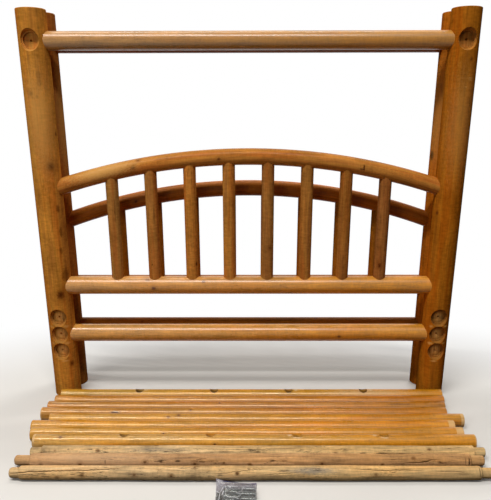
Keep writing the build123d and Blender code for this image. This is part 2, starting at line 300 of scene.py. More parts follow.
MARKS: dict[str, tuple[Mark, ...]] = {name: tuple(Mark(*row) for row in rows) for name, rows in {
    "headboard_post_left": ((1.2685, 35, 0.027, 0.024), (1.6146, -12, 0.014, 0.012, K, 0.8),
        (1.425, 77, 0.012, 0.01, K, 0.8), (1.6981, 22, 0.034, 0.014, S, 0.42),
        (1.6623, 24, 0.02, 0.016, S, 0.42), (1.0557, 48, 0.024, 0.014, S, 0.6),
        (0.935, 52, 0.034, 0.012, S, 0.55), (0.835, 44, 0.026, 0.01, S, 0.55),
        (0.598, 23, 0.03, 0.026, K, 0.9), (0.7018, 56, 0.05, 0.03, S, 0.6),
        (1.1, -30, 0.05, 0.012, S, 0.35), (0.1975, 43, 0.02, 0.016, K, 0.7),
        # the long pale patch at 1.48 is a painted sheen
        (1.48, 10, 0.34, 0.1, B, 0.55), (0.4175, 34, 0.01, 0.02, B, 0.8),
        (0.3205, 32, 0.01, 0.022, B, 0.8), (0.4165, -36, 0.008, 0.014, B, 0.7),
        (0.3195, -36, 0.008, 0.014, B, 0.7), (0.217, 14, 0.007, 0.026, B, 0.8)),
    "headboard_arch_rail": ((-0.585, 4, 0.013, 0.011), (-0.56, 50, 0.01, 0.008, K, 0.6),
        (0.586, -2, 0.006, 0.024, S, 0.85), (0.576, -14, 0.014, 0.008, S, 0.6),
        (-0.15, -8, 0.01, 0.008, K, 0.7), (-0.74, 30, 0.22, 0.06, B, 0.95)),
    "headboard_post_right": ((1.6805, 25, 0.003, 0.02, B, 0.8), (1.672, 25, 0.003, 0.016, B, 0.8),
        # the long pale patch at 1.46 is a painted sheen
        (1.64, 8, 0.003, 0.009, B, 0.7), (1.46, 5, 0.34, 0.1, B, 0.3),
        (0.4185, 32, 0.008, 0.016, B, 0.9), (0.3205, 30, 0.008, 0.014, B, 0.6),
        (0.4165, -34, 0.009, 0.016, B, 0.6), (0.3195, -32, 0.01, 0.02, B, 0.8),
        (0.217, -8, 0.007, 0.024, B, 0.8)),
    # the long pale patches at 1.5 and 1.48 on the rear posts are a painted sheen
    "footboard_post_right": ((1.31, -74, 0.032, 0.022, S, 1.0), (1.5, -60, 0.34, 0.1, B, 0.35)),
    "footboard_post_left": ((1.48, 60, 0.32, 0.1, B, 0.4),),
    "headboard_spindle_rail": ((-0.51, -8, 0.013, 0.011), (-0.543, 49, 0.02, 0.012, K, 0.5)),
    "headboard_spindle_8": ((0.7509, -14, 0.016, 0.01),),
    "headboard_spindle_2": ((0.7561, -15, 0.006, 0.005, K, 0.6), (1.02, 24, 0.06, 0.006, S, 0.4)),
    "headboard_spindle_1": ((1.04, 24, 0.08, 0.006, S, 0.4),),
    "headboard_spindle_3": ((0.7572, 50, 0.012, 0.008),),
    "headboard_spindle_5": ((0.8457, 24, 0.01, 0.007, K, 0.6),),
    "headboard_bottom_rail": ((0.5, -9, 0.011, 0.009),),
    "footboard_arch_rail": ((-0.606, -5, 0.012, 0.01),),
    "slat_rail_left": ((0.262, 84, 0.014, 0.012, B, 0.8), (0.675, 84, 0.016, 0.01, B, 0.6),
        (-0.57, 84, 0.03, 0.008, B, 0.5), (-0.602, 62, 0.03, 0.008, B, 0.6),
        (-0.19, 64, 0.028, 0.008, B, 0.6), (0.222, 64, 0.04, 0.012, T, 0.7),
        (0.634, 64, 0.04, 0.012, T, 0.7), (0.66, 45, 0.34, 0.03, B, 0.45)),
    "lower_side_rail_left": ((-0.96, 62, 0.13, 0.0035, S, 0.7), (-0.94, 74, 0.13, 0.004, B, 0.7),
        (-0.153, 70, 0.008, 0.006), (0.8, 60, 0.09, 0.006, S, 0.6)),
    "canopy_rail_left": ((-0.69, 42, 0.034, 0.009, S, 0.9), (-0.3, 60, 0.007, 0.005)),
    "canopy_rail_right": ((-0.354, 74, 0.008, 0.006),),
    "upper_side_rail_right": ((-0.411, 34, 0.007, 0.006),),
    "slat_rail_right": ((-0.891, 66, 0.01, 0.007), (-0.16, 8, 0.009, 0.007),
        (0.196, 88, 0.014, 0.01, B, 0.8), (0.6, 88, 0.014, 0.01, B, 0.8),
        (-0.592, 68, 0.034, 0.008, T, 0.8), (-0.18, 68, 0.034, 0.008, T, 0.8),
        (0.232, 74, 0.05, 0.014, T, 0.8), (0.644, 74, 0.05, 0.014, T, 0.8),
        (0.232, 62, 0.028, 0.006, B, 0.7), (0.644, 62, 0.024, 0.006, B, 0.7)),
    "cross_slat_1": ((-0.96, 20, 0.009, 0.007, K, 0.6), (-0.89, 40, 0.006, 0.005, K, 0.5),
        (-0.825, 10, 0.008, 0.006, K, 0.7), (0.525, 20, 0.02, 0.005, S, 0.8),
        (0.61, 20, 0.03, 0.004, S, 0.85), (0.7, 18, 0.04, 0.005, S, 0.85),
        (-0.7, 48, 0.07, 0.012, T, 0.8), (-0.47, 46, 0.13, 0.014, T, 0.75),
        (-0.42, 52, 0.2, 0.02, B, 0.5), (-0.334, 42, 0.07, 0.012, T, 0.7),
        (0.048, 50, 0.06, 0.014, T, 0.85), (0.3, 30, 0.05, 0.01, T, 0.6),
        (0.44, 52, 0.03, 0.01, T, 0.8), (0.83, 55, 0.012, 0.008, K, 0.7),
        (-0.1, 30, 0.05, 0.006, S, 0.35), (0.15, 60, 0.12, 0.006, S, 0.3),
        (0.4, 18, 0.012, 0.01, K, 0.6)),
    "cross_slat_2": ((-0.7, 40, 0.44, 0.05, B, 0.5), (-0.756, -6, 0.01, 0.009),
        (-0.464, 17, 0.009, 0.007), (-0.392, 17, 0.01, 0.006, S, 0.7),
        (-0.41, 26, 0.06, 0.01, T, 0.9), (-0.21, 30, 0.05, 0.012, T, 0.9),
        (-0.15, 10, 0.03, 0.012, T, 0.9), (0.13, 24, 0.07, 0.01, T, 0.8),
        (-0.316, 24, 0.018, 0.006, S, 0.8), (-0.24, 2, 0.01, 0.009),
        (-0.643, 17, 0.003, 0.012, S, 0.8), (0.988, 20, 0.005, 0.024, S, 0.9),
        (0.972, 24, 0.003, 0.02, S, 0.5), (-0.11, 10, 0.008, 0.007, K, 0.6),
        (-0.6, 40, 0.1, 0.008, T, 0.5), (0.33, 5, 0.009, 0.008, K, 0.8),
        (0.6, 0, 0.01, 0.008, K, 0.6), (0.83, 14, 0.06, 0.012, T, 0.8)),
    "cross_slat_3": ((-0.049, 28, 0.01, 0.009), (-0.494, 16, 0.009, 0.008, K, 0.8),
        (-0.334, 9, 0.009, 0.008), (-0.233, 80, 0.007, 0.006, K, 0.7),
        (0.277, 48, 0.13, 0.022, B, 0.85), (0.277, 57, 0.06, 0.008, T, 1.0),
        (1.0, 33, 0.0025, 0.03, S, 0.8), (0.16, 50, 0.05, 0.01, T, 0.7),
        (-0.92, 2, 0.14, 0.016, T, 0.7), (-0.74, 22, 0.05, 0.009, T, 0.7),
        (-0.16, 20, 0.06, 0.014, T, 0.6), (0.93, 24, 0.05, 0.01, S, 0.35),
        (0.6, -6, 0.16, 0.01, S, 0.35), (-0.3, -8, 0.18, 0.01, S, 0.35),
        (0.1, 4, 0.12, 0.008, S, 0.3), (-0.72, 12, 0.012, 0.009, K, 0.6),
        (0.55, 20, 0.012, 0.009, K, 0.5))
}.items()}

# factors of red, green and blue on each log beside its finish: partly its own tone, partly painted
# light and shade that sets how bright each log looks
TONES_AND_PAINTED_LIGHT: dict[str, Colour] = {
    "headboard_spindle_1": (0.88, 0.96, 1.21), "headboard_spindle_2": (0.94, 0.93, 1.06),
    "headboard_spindle_3": (1.16, 1.09, 1.03), "headboard_spindle_4": (1.09, 1.09, 1.08),
    "headboard_spindle_5": (0.84, 0.86, 1.0), "headboard_spindle_6": (0.88, 0.87, 0.92),
    "headboard_spindle_7": (0.78, 0.71, 0.69), "headboard_spindle_8": (0.71, 0.64, 0.83),
    "headboard_post_left": (1.2, 1.19, 0.93), "headboard_post_right": (0.93, 0.84, 0.74),
    "footboard_post_left": (0.98, 0.98, 1.9), "footboard_post_right": (1.23, 1.04, 0.75),
    "headboard_top_rail": (0.95, 1.0, 1.12), "headboard_spindle_rail": (1.32, 1.3, 1.25),
    "headboard_bottom_rail": (1.3, 1.28, 1.1), "headboard_arch_rail": (1.12, 1.08, 1.02),
    "footboard_arch_rail": (1.02, 0.87, 0.73), "slat_rail_left": (1.12, 1.34, 1.1),
    "upper_side_rail_left": (1.0, 0.94, 0.66), "lower_side_rail_left": (0.9, 0.85, 0.62),
    "canopy_rail_left": (0.94, 0.93, 0.82), "canopy_rail_right": (0.96, 1.0, 0.9),
    "lower_side_rail_right": (1.02, 1.02, 0.74), "upper_side_rail_right": (0.99, 1.02, 0.82),
    "slat_rail_right": (1.1, 1.28, 1.95)
}


@dataclass(frozen=True)
class Log:
    """Where a log lies, and what sets it apart from others of its finish."""

    name: str  # its node
    lie: Lie
    centre: Place  # a point on its axis; for a bowed log, the middle of its crown
    radius: float
    bow: float = 0.0  # the radius of its bend
    span: tuple[float, float] = (0.0, 0.0)  # its sawn ends; the same twice where both are hidden
    bare: tuple[float, float] = (0.0, 0.0)  # how far the finish stops short of each end
    hole_shade: float = 0.0  # how dark the painted shade inside its holes is
    seed: float = 0.0  # moves the pattern

    @property
    def marks(self) -> tuple[Mark, ...]:
        """The marks on it."""
        return MARKS.get(self.name, ())


@dataclass(frozen=True)
class WoodFinish:
    """One finish on pine."""

    early: Colour  # the wide pale bands of the rings
    late: Colour  # the narrow dark bands
    warm: Colour  # the hue that some of the streaks lean to
    dull: Colour  # the hue that the others lean to
    knot: Colour  # the middle of a knot
    rim: Colour  # the core of a knot, cracks and dirt
    bare: Colour  # wood without any finish, at the ends
    scuff: Colour  # worn and bleached patches, and the painted sheen high on the posts
    roughness: float = 0.29  # of the varnish
    gloss: float = 0.08  # strength of its sheen
    tint: Colour = (1.0, 0.86, 0.78)  # the colour of that sheen
    ring_gap: float = 0.0042  # distance between rings
    ring_depth: float = 0.36  # how strongly the rings show
    mottle: float = 0.46  # how uneven the stain is
    relief: float = 0.0004  # how tall the grain stands
    pins: float = 0.03  # share of the cells with a pin knot
    flecks: float = 0.25  # how many short dark dashes and specks of dirt lie in the grain
    amber: float = 0.0  # how much deeper and more orange the colour turns towards the right
    crest: Colour = (0.8, 0.6, 0.3)  # hue painted on one side of a lying log: painted highlight where lighter, painted shade where darker
    crest_share: float = 0.0  # how much of that painted hue there is
    crest_turn: float = 60.0  # degrees round the log where the painted light and shade is strongest


STAINED = WoodFinish(
    **hues(early="b97d36", late="87481f", warm="ab5b20", dull="8f572c", knot="62300e",
           rim="461c06", bare="ccab6a", scuff="d49c54"), mottle=0.50, flecks=0.5)
# a darker, more saturated copy of the stain for the headboard's right post: painted shade
STAINED_RIGHT_SHADED = replace(
    STAINED, **hues(early="b4721e", late="86440e", warm="a4560e", dull="7c4c18"))
STAINED_LOW = replace(
    STAINED, **hues(early="bc8848", late="94602c", warm="b07632", dull="987040"),
    roughness=0.28, gloss=0.6, tint=(1.0, 0.95, 0.95), amber=1.2)
# a darker, redder copy of the stain for the rear frame, as painted shade
STAINED_REAR_SHADED = replace(
    STAINED, **hues(early="a8681e", late="783c10", warm="964e12", dull="74461a",
                    knot="59290f", rim="351607", bare="a98550"))
# the rear bowed rail: the shaded copy, with a painted highlight along its top
REAR_ARCH = replace(STAINED_REAR_SHADED, **hues(crest="d08c48"), crest_share=0.55, crest_turn=72.0)
OILED = replace(
    STAINED, **hues(early="bb8338", late="8c581e", warm="be7618", dull="a4783e", knot="6c3f1c",
                    rim="3e200e", bare="d8b27a", scuff="e0c294"),
    roughness=0.22, gloss=0.66, tint=(1.0, 0.82, 0.60), mottle=0.60, ring_depth=0.4, flecks=0.6,
    amber=1.5)
OILED_PALE = replace(OILED, **hues(early="c99038", late="9c621e", warm="ca8018", dull="b48440"))
# the front drilled rail, with painted shade on its crown
OILED_FRONT = replace(OILED_PALE, **hues(crest="96661e"), crest_share=0.35, crest_turn=75.0)
# the slats' bare wood; each of these finishes paints shade on one side of the slat
BARE = WoodFinish(
    **hues(early="dfbc8a", late="b08454", warm="d6a668", dull="ac906c", knot="6e4622",
           rim="2e1b0d", bare="d2ac74", scuff="8f8473", crest="a8824e"),
    roughness=0.74, gloss=0.2, tint=WHITE, mottle=0.85, ring_depth=0.6, relief=0.0011,
    pins=0.10, flecks=1.2, amber=0.16, crest_share=0.15, crest_turn=90.0)
GREYED = replace(
    BARE, **hues(early="e4c592", dull="b49a78", warm="d8b078", late="ac8c64", crest="967044"),
    mottle=1.05, crest_share=0.35, crest_turn=86.0)
ROSY = replace(
    BARE, **hues(early="cea276", dull="aa825a", warm="ca9862", late="966c46", scuff="dcb488",
                 crest="a87c4c"), crest_share=0.5, crest_turn=58.0)

# each noise on a log: cells per metre along it and across it, finer layers and their strength
GRAIN: dict[str, tuple[float, float, float, float]] = {
    "lumps": (1.3, 19.0, 1.5, 0.5), "streak": (2.6, 70.0, 4.0, 0.62),
    "lick": (9.0, 150.0, 3.0, 0.6), "hue": (1.5, 24.0, 2.5, 0.55),
    "fibre": (14.0, 560.0, 2.0, 0.5), "patch": (6.0, 11.0, 4.0, 0.6),
    "ripple": (95.0, 34.0, 2.0, 0.6), "dash": (26.0, 210.0, 3.0, 0.72),
    "gather": (5.0, 13.0, 2.0, 0.6), "ruffle": (90.0, 190.0, 3.0, 0.6),
    "worn": (16.0, 26.0, 2.0, 0.5)}
# each layer of a mark: whether its edge is ruffled, where it begins and where it is full (0 is
# the mark's edge and 1 its middle), its strength and its hue in the finish
LAYERS: dict[Blemish, tuple[tuple[bool, float, float, float, str], ...]] = {
    K: ((False, -1.7, 0.2, 0.38, "knot"), (True, -0.1, 0.5, 0.8, "knot"),
        (True, 0.35, 0.85, 0.8, "rim")),
    S: ((True, -0.05, 0.6, 1.0, "rim"),),
    B: ((True, -0.1, 0.8, 1.0, "scuff"),),
    T: ()}
SEED_SHIFT = (1.0, 0.37, 0.71)  # how far one unit of seed moves the pattern, along and across
PITH_SWAY, LUMP, KNOT_PUSH = 0.03, 0.013, 0.003  # how far the rings leave their circles
AMBER: Colour = (0.99, 0.88, 0.41)  # the factors of red, green and blue of that deeper colour
SAWN = (0.0016, 0.0006)  # where a sawn face begins and is full, from its end
STUB_EDGE = 0.001  # half the soft edge of a bare stretch
UNDER_SKIN = (0.0008, 0.0030)  # how far in the inside of a socket or hole begins and is full
DARK_WALL = (0.004, 0.012)  # how far in a slat hole the painted shade begins and is darkest
SOCKET_Z, SOCKET_PITCH = 0.272, 0.097  # height of the lowest socket, and the step to the next
LIT_SOCKET_TOP = (0.9, 0.6)  # no socket gets painted light above the first height, each is below the second
SOCKET_LIGHT_SPOT = (0.040, 0.008)  # how far from its middle a socket's painted light begins and is full


class LogWood:
    """Grows the material of one log.

    The wood is a stack of rings about a pith that sways along the log.  A point's ring number is
    its distance from the pith, plus slow lumps, over the ring gap; where the log's skin cuts the
    rings at a slant they show as long pointed bands, and on a sawn end as circles.  Knots push
    the rings aside.  Streaks are noise drawn out along the log, and the stain is uneven.
    """

    def __init__(self, log: Log, finish: WoodFinish) -> None:
        """Hold a log and its finish, and lay coordinates, noises and marks on it.

        Args:
            log: where it lies.
            finish: its wood.
        """
        self.log, self.finish = log, finish
        self.shader = shader = Shader(bpy.data.materials.new(f"{log.name}_wood"))
        self.own = self._own_place()
        self.moved = self.own + tuple(log.seed * share for share in SEED_SHIFT)
        self.along = self.own.axes()[0]
        self.across = self.own * (0.0, 1.0, 1.0)
        self.radial = self.across.length()
        self.grain = {name: shader.noise(self.moved * (cells, wide, wide), detail, rough)
                      for name, (cells, wide, detail, rough) in GRAIN.items()}
        self.masks = [(mark, self._mask(mark)) for mark in log.marks]

    def _own_place(self) -> Wire:
        """Turn the point's coordinates into the log's own frame.

        Along a bowed log the second number across is the distance from the centre of the bow,
        less the radius of the bow.

        Returns:
            The distance along the log, then two numbers across it.
        """
        shader, (cx, cy, cz) = self.shader, self.log.centre
        x, y, z = shader.place().axes()
        if self.log.lie is Lie.ALONG_X:
            return shader.join(x, y - cy, z - cz)
        if self.log.lie is Lie.ALONG_Z:
            return shader.join(z, y - cy, x - cx)
        drop = z - (cz - self.log.bow)
        return shader.join(x, y - cy, (x * x + drop * drop) ** 0.5 - self.log.bow)

    def _mask(self, mark: Mark) -> Wire:
        """How far inside a mark a point is.

        Args:
            mark: the mark, an ellipsoid about a point on the log's skin.

        Returns:
            1 in its middle, 0 at its edge and less beyond.
        """
        turn, r = math.radians(mark.turn), self.log.radius
        seat = (mark.along, -math.cos(turn) * r, math.sin(turn) * r)
        scale = (1 / mark.reach, 1 / mark.spread, 1 / mark.spread)
        return 1.0 - ((self.own - seat) * scale).length()

    def _paint(self, amount: Any, hue: Any) -> None:
        """Lay a hue over the colour so far."""
        self.colour = self.shader.mix(amount, self.colour, hue)

    def _rings(self) -> None:
        """Work out the rings: where the ring number's fraction is high, the wood is dark."""
        sway = self.shader.noise(self.moved * (0.9, 0.0, 0.0), 1.0, out="Color") - (0.5, 0.5, 0.5)
        from_pith = ((self.across + sway * (0.0, PITH_SWAY, PITH_SWAY)).length()
                     + (self.grain["lumps"] - 0.5) * LUMP)
        for mark, mask in self.masks:
            if mark.kind is Blemish.KNOT:
                from_pith = from_pith + mask.rise(-1.6, 0.6) * KNOT_PUSH
        phase = (from_pith / self.finish.ring_gap).fract()
        self.rings = phase.rise(0.1, 0.8) * phase.rise(1.0, 0.84)

    def _stain(self) -> None:
        """Colour rings, streaks, patches, and painted light and shade on a lying log's side."""
        finish, grain = self.finish, self.grain
        streak, hue, patch = grain["streak"], grain["hue"], grain["patch"]
        shown = self.rings * patch.rise(0.32, 0.68)
        self.colour = self.shader.mix(shown * finish.ring_depth + streak.rise(0.52, 0.74) * 0.35,
                                      finish.early, finish.late)
        self._paint(hue.rise(0.46, 0.66) * 0.6, finish.warm)
        self._paint(hue.rise(0.5, 0.32) * 0.55, finish.dull)
        # painted light and shade: a hue laid on the side of a lying log that faces the given turn
        if finish.crest_share:
            turn = math.radians(finish.crest_turn)
            _, back, lift = self.across.axes()
            facing = (lift * math.sin(turn) - back * math.cos(turn)) / self.radial
            self._paint(facing.rise(0.55, 0.95) * streak.rise(0.25, 0.5) * finish.crest_share,
                        finish.crest)
        shares = {"streak": 1.3 * finish.mottle, "patch": 1.9 * finish.mottle,
                  "lick": 1.5 * finish.mottle, "fibre": 0.32,
                  "ripple": 0.8 if self.log.lie is Lie.ALONG_Z else 0.45}
        shade = sum(((grain[name] - 0.5) * share for name, share in shares.items()), start=1.0)
        self.colour = self.colour * shade * TONES_AND_PAINTED_LIGHT.get(self.log.name, WHITE)
        self.rough = finish.roughness + (streak - 0.5) * 0.16 + (patch - 0.5) * 0.30
        self.height = self.rings * -0.25 + grain["fibre"] * 0.5 + streak * 0.5

    def _dirt(self) -> None:
        """Short dark dashes that gather in clouds, a deeper colour towards the right, and pin
        knots.
        """
        finish, shader, dash = self.finish, self.shader, self.grain["dash"]
        fleck = dash.rise(0.55, 0.68) * self.grain["gather"].rise(0.44, 0.62) * (
            0.75 * finish.flecks)
        self._paint(fleck.least(1.0), finish.rim)
        self.height = self.height - fleck * 0.6
        if finish.amber:
            self._paint(self.along.rise(-0.65, 0.6),
                        self.colour * tuple(share ** finish.amber for share in AMBER))
            self.rough = self.rough + self.along.rise(0.1, 0.8) * 0.12
        # a few cells of a scatter are pin knots, each a small soft dark spot
        cells = shader.node("ShaderNodeTexVoronoi", {"feature": "F1"},
                            {"Vector": self.moved * (15.0, 20.0, 20.0), "Scale": 1.0,
                             "Randomness": 1.0}, "Distance")
        chosen = cells.beside("Color").axes()[0].rise(finish.pins + 0.005, finish.pins)
        self._paint(chosen * cells.rise(0.26, 0.06) * 0.8, finish.knot)

    def _blemishes(self) -> None:
        """The log's own marks, with ruffled edges."""
        finish, dash = self.finish, self.grain["dash"]
        ruffle = (self.grain["ruffle"] - 0.5) * 1.1
        for mark, mask in self.masks:
            for ruffled, start, full, strength, hue in LAYERS[mark.kind]:
                inside = (mask + ruffle if ruffled else mask).rise(start, full)
                self._paint(inside * (strength * mark.depth), getattr(finish, hue))
            if mark.kind is Blemish.STREAK:
                self.height = self.height + (mask + ruffle).rise(0.0, 0.6) * -1.0
            elif mark.kind is Blemish.TORN:
                area = (mask + ruffle * 0.6).rise(-0.1, 0.5)
                pale = tuple(min(1.0, 1.35 * share) for share in finish.bare)
                self._paint(area * dash.rise(0.40, 0.33) * (0.8 * mark.depth), pale)
                self._paint(area * dash.rise(0.50, 0.60) * mark.depth, finish.rim)
                self.height = self.height - area * dash

    def _ends(self) -> tuple[Wire, Wire] | None:
        """Find the log's two ends.

        Returns:
            Two masks, 1 on the sawn faces and 1 also on the bare stretches beside them, or None
            where both ends are hidden.
        """
        low, high = self.log.span
        if low == high:
            return None
        along, (outer, inner), (left, right) = self.along, SAWN, self.log.bare
        face = along.rise(low + outer, low + inner).most(along.rise(high - outer, high - inner))
        stub = along.rise(low + left + STUB_EDGE, low + left - STUB_EDGE).most(
            along.rise(high - right - STUB_EDGE, high - right + STUB_EDGE))
        return face, face.most(stub)

    def _cuts(self) -> None:
        """Sawn ends, bare stretches, and sockets and holes with painted light and shade."""
        log, finish, along = self.log, self.finish, self.along
        raw = self.shader.mix(self.rings * 0.45, finish.bare, finish.dull)
        raw = raw * (1.0 + (self.grain["streak"] - 0.5) * 0.4)
        inside = self.radial.rise(*(log.radius - inset for inset in UNDER_SKIN))
        ends = self._ends()
        if ends is not None:
            face, stub = ends
            self._paint(stub * 0.85, raw)
            self.rough = self.rough + stub * 0.3
            inside = inside * (1.0 - face)
        self._paint(inside * (self.grain["worn"] * 0.16 + 0.14), raw)
        if log.lie is Lie.ALONG_Z:
            # painted light, in a pale bare-wood hue, on the middles of the three low sockets, and
            # painted shade round it
            rise_in = (((along - SOCKET_Z) / SOCKET_PITCH + 0.5).fract() - 0.5) * SOCKET_PITCH
            aside = self.own.axes()[2]
            light_spot = ((rise_in * rise_in + aside * aside) ** 0.5).rise(*SOCKET_LIGHT_SPOT)
            low = inside * along.rise(*LIT_SOCKET_TOP)
            self._paint(low * light_spot * 0.5, raw)
            self.colour = self.colour * (1.0 + low * (light_spot * 1.1 - 0.26))
        # painted shade deep inside the holes, darkest furthest in
        if log.hole_shade:
            wall = self.radial.rise(*(log.radius - inset for inset in DARK_WALL))
            self._paint(inside * wall * log.hole_shade, finish.rim)
        self.rough = self.rough + inside * 0.25

    def build(self) -> bpy.types.Material:
        """Grow the tree from the rings outwards.

        Returns:
            The material.
        """
        for layer in (self._rings, self._stain, self._dirt, self._blemishes, self._cuts):
            layer()
        finish = self.finish
        return self.shader.close(
            Base_Color=self.colour, Roughness=self.rough, Specular_IOR_Level=finish.gloss,
            Specular_Tint=finish.tint, Normal=self.shader.bump(self.height, finish.relief, 0.7))


class CrackedWood(LogWood):
    """Bare wood with drying checks, whose mask the mesh carries."""

    def _cuts(self) -> None:
        """The cuts of plain wood, then the dark checks."""
        super()._cuts()
        self._paint(self.shader.carried("crack").rise(0.25, 0.8) * 0.8, self.finish.rim)


def dress(node: str, material: bpy.types.Material) -> None:
    """Give a carried node its material.

    Args:
        node: the node's name.
        material: its finish.
    """
    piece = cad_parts[node]
    for each in piece.material_slots:
        each.material = material
    LOG.info("dressed %s", node)


def settle(piece: bpy.types.Object, material: bpy.types.Material) -> None:
    """Give a new piece its material and carry it on the one body.

    Args:
        piece: the piece.
        material: its finish.
    """
    piece.data.materials.append(material)
    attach(piece, "root")
    LOG.info("built %s: %d faces", piece.name, len(piece.data.polygons))


# ------------------------------------------------------------------ end frames
FRONT_Y, REAR_Y = 0.4645, 0.609
POST_X, POST_R, POST_HEIGHT = 1.0375, 0.0715, 1.994
TOP_RAIL_Z, TOP_RAIL_R = 1.855, 0.04325
SPINDLE_RAIL_R, BOTTOM_RAIL_R, ARCH_RAIL_R = 0.0485, 0.048, 0.04125
SPINDLE_PITCH, SPINDLE_R, SPINDLES = 0.202, 0.0325, 8


@dataclass(frozen=True)
class EndFrame:
    """One end frame: two posts, a top rail, a bowed rail with spindles below it, a bottom rail."""

    name: str  # headboard or footboard
    y: float  # where its axes stand
    finish: WoodFinish  # the wood of its left post and spindles
    straight: WoodFinish  # the wood of its straight rails
    right: WoodFinish  # the wood of its right post
    arch: WoodFinish  # the wood of its bowed rail
    spindle_z: float  # height of the spindle rail
    bottom_z: float  # height of the bottom rail
    crown_z: float  # height of the bow's crown
    bow: float  # radius of the bow
    seed: float  # moves the grain of all its logs
    seed_step: float = 3.17  # and from one log to the next

    def logs(self) -> list[tuple[Log, WoodFinish]]:
        """Place every log of the frame.

        Returns:
            The logs, each with its finish.
        """
        upright, lying = Lie.ALONG_Z, Lie.ALONG_X
        rows = [("post_left", upright, -POST_X, 0.0, POST_R, self.finish),
                ("post_right", upright, POST_X, 0.0, POST_R, self.right),
                ("top_rail", lying, 0.0, TOP_RAIL_Z, TOP_RAIL_R, self.straight),
                ("spindle_rail", lying, 0.0, self.spindle_z, SPINDLE_RAIL_R, self.straight),
                ("bottom_rail", lying, 0.0, self.bottom_z, BOTTOM_RAIL_R, self.straight),
                ("arch_rail", Lie.BOWED, 0.0, self.crown_z, ARCH_RAIL_R, self.arch)]
        for number in range(SPINDLES):
            x = (number - (SPINDLES - 1) / 2) * SPINDLE_PITCH
            rows.append((f"spindle_{number + 1}", upright, x, 0.0, SPINDLE_R, self.finish))
        return [(Log(f"{self.name}_{part}", lie, (x, self.y, z), radius,
                     bow=self.bow if lie is Lie.BOWED else 0.0,
                     span=(0.0, POST_HEIGHT) if part.startswith("post") else (0.0, 0.0),
                     seed=self.seed + self.seed_step * place), finish)
                for place, (part, lie, x, z, radius, finish) in enumerate(rows)]

    def build(self) -> None:
        """Dress every log; those that stand upright have no sheen."""
        for log, finish in self.logs():
            if log.lie is Lie.ALONG_Z:
                finish = replace(finish, gloss=0.0)
            dress(log.name, LogWood(log, finish).build())


# ------------------------------------------------------------------ surfaces
def soft_noise(u: np.ndarray, v: np.ndarray, cells: tuple[int, int], seed: int) -> np.ndarray:
    """Smooth noise on a surface that closes on itself in v.

    The value is that of a lattice of random numbers from -1 to 1, with cosine steps between
    neighbours in both directions.

    Args:
        u: 0 to 1 along the surface.
        v: 0 to 1 round it.
        cells: lattice cells along and round.
        seed: picks the random numbers.

    Returns:
        The noise at each point.
    """
    lattice = np.random.default_rng(seed).uniform(-1, 1, (cells[0] + 2, cells[1]))
    a, b = np.clip(u, 0, 1) * cells[0], (v % 1.0) * cells[1]
    i, j = np.floor(a).astype(int), np.floor(b).astype(int) % cells[1]
    fa, fb = (1 - np.cos(np.pi * (a - i))) / 2, (1 - np.cos(np.pi * (b - np.floor(b)))) / 2
    k = (j + 1) % cells[1]
    near = lattice[i, j] * (1 - fb) + lattice[i, k] * fb
    far = lattice[i + 1, j] * (1 - fb) + lattice[i + 1, k] * fb
    return near * (1 - fa) + far * fa


def put(name: str, data: bpy.types.ID) -> bpy.types.Object:
    """Put a new object into the scene.

    Args:
        name: its name.
        data: the mesh, lamp or camera that it shows.

    Returns:
        The new object.
    """
    made = bpy.data.objects.new(name, data)
    bpy.context.scene.collection.objects.link(made)
    return made


def skin(name: str, points: np.ndarray, faces: list[list[int]],
         values: dict[str, np.ndarray]) -> bpy.types.Object:
    """A smooth piece of points and faces.

    Args:
        name: the piece's name.
        points: points x 3.
        faces: the points of each face.
        values: a number for each point, kept on the mesh by name.

    Returns:
        The new object.
    """
    mesh = bpy.data.meshes.new(name)
    mesh.from_pydata(points.tolist(), [], faces)
    mesh.polygons.foreach_set("use_smooth", np.ones(len(mesh.polygons), bool))
    for label, numbers in values.items():
        kept = mesh.attributes.new(label, "FLOAT", "POINT")
        kept.data.foreach_set("value", numbers.astype(np.float32))
    mesh.update()
    return put(name, mesh)


def turned_faces(rings: int, around: int) -> list[list[int]]:
    """Faces of a closed skin of rings, whose points come ring by ring and then the two poles.

    Quads join each ring to the next, and a fan of triangles joins the first and last ring to
    their poles.

    Args:
        rings: how many rings there are; ring times length points inward.
        around: points in each ring.

    Returns:
        The points of each face.
    """
    i, j = np.meshgrid(np.arange(rings - 1), np.arange(around), indexing="ij")
    k = (j + 1) % around
    quads = np.stack([i * around + j, (i + 1) * around + j,
                      (i + 1) * around + k, i * around + k], -1)
    last, pole = (rings - 1) * around, np.full(around, rings * around)
    fans = [np.stack([j[0], k[0], pole], -1), np.stack([last + k[0], last + j[0], pole + 1], -1)]
    return quads.reshape(-1, 4).tolist() + np.vstack(fans).tolist()


def sheet_shell(name: str, top: np.ndarray, bottom: np.ndarray,
                values: dict[str, np.ndarray]) -> bpy.types.Object:
    """A closed thin shell between two sheets of points over the same grid.

    Quads cover the top, reversed quads the bottom, and a band of quads joins their rims.

    Args:
        name: the piece's name.
        top: rows x columns x 3, rows towards +Y and columns towards +X.
        bottom: the same, below the top.
        values: numbers for each point of the top, kept on both sheets by name.

    Returns:
        The new object.
    """
    rows, columns = top.shape[:2]
    count = rows * columns
    n = np.arange(count).reshape(rows, columns)
    faces = np.stack([n[:-1, :-1], n[:-1, 1:], n[1:, 1:], n[1:, :-1]], -1).reshape(-1, 4)
    rim = np.concatenate([n[0, :-1], n[:-1, -1], n[-1, :0:-1], n[:0:-1, 0]])
    after = np.roll(rim, -1)
    band = np.stack([after, rim, rim + count, after + count], -1)
    return skin(name, np.vstack([top.reshape(-1, 3), bottom.reshape(-1, 3)]),
                np.vstack([faces, faces[:, ::-1] + count, band]).tolist(),
                {label: np.tile(numbers.ravel(), 2) for label, numbers in values.items()})


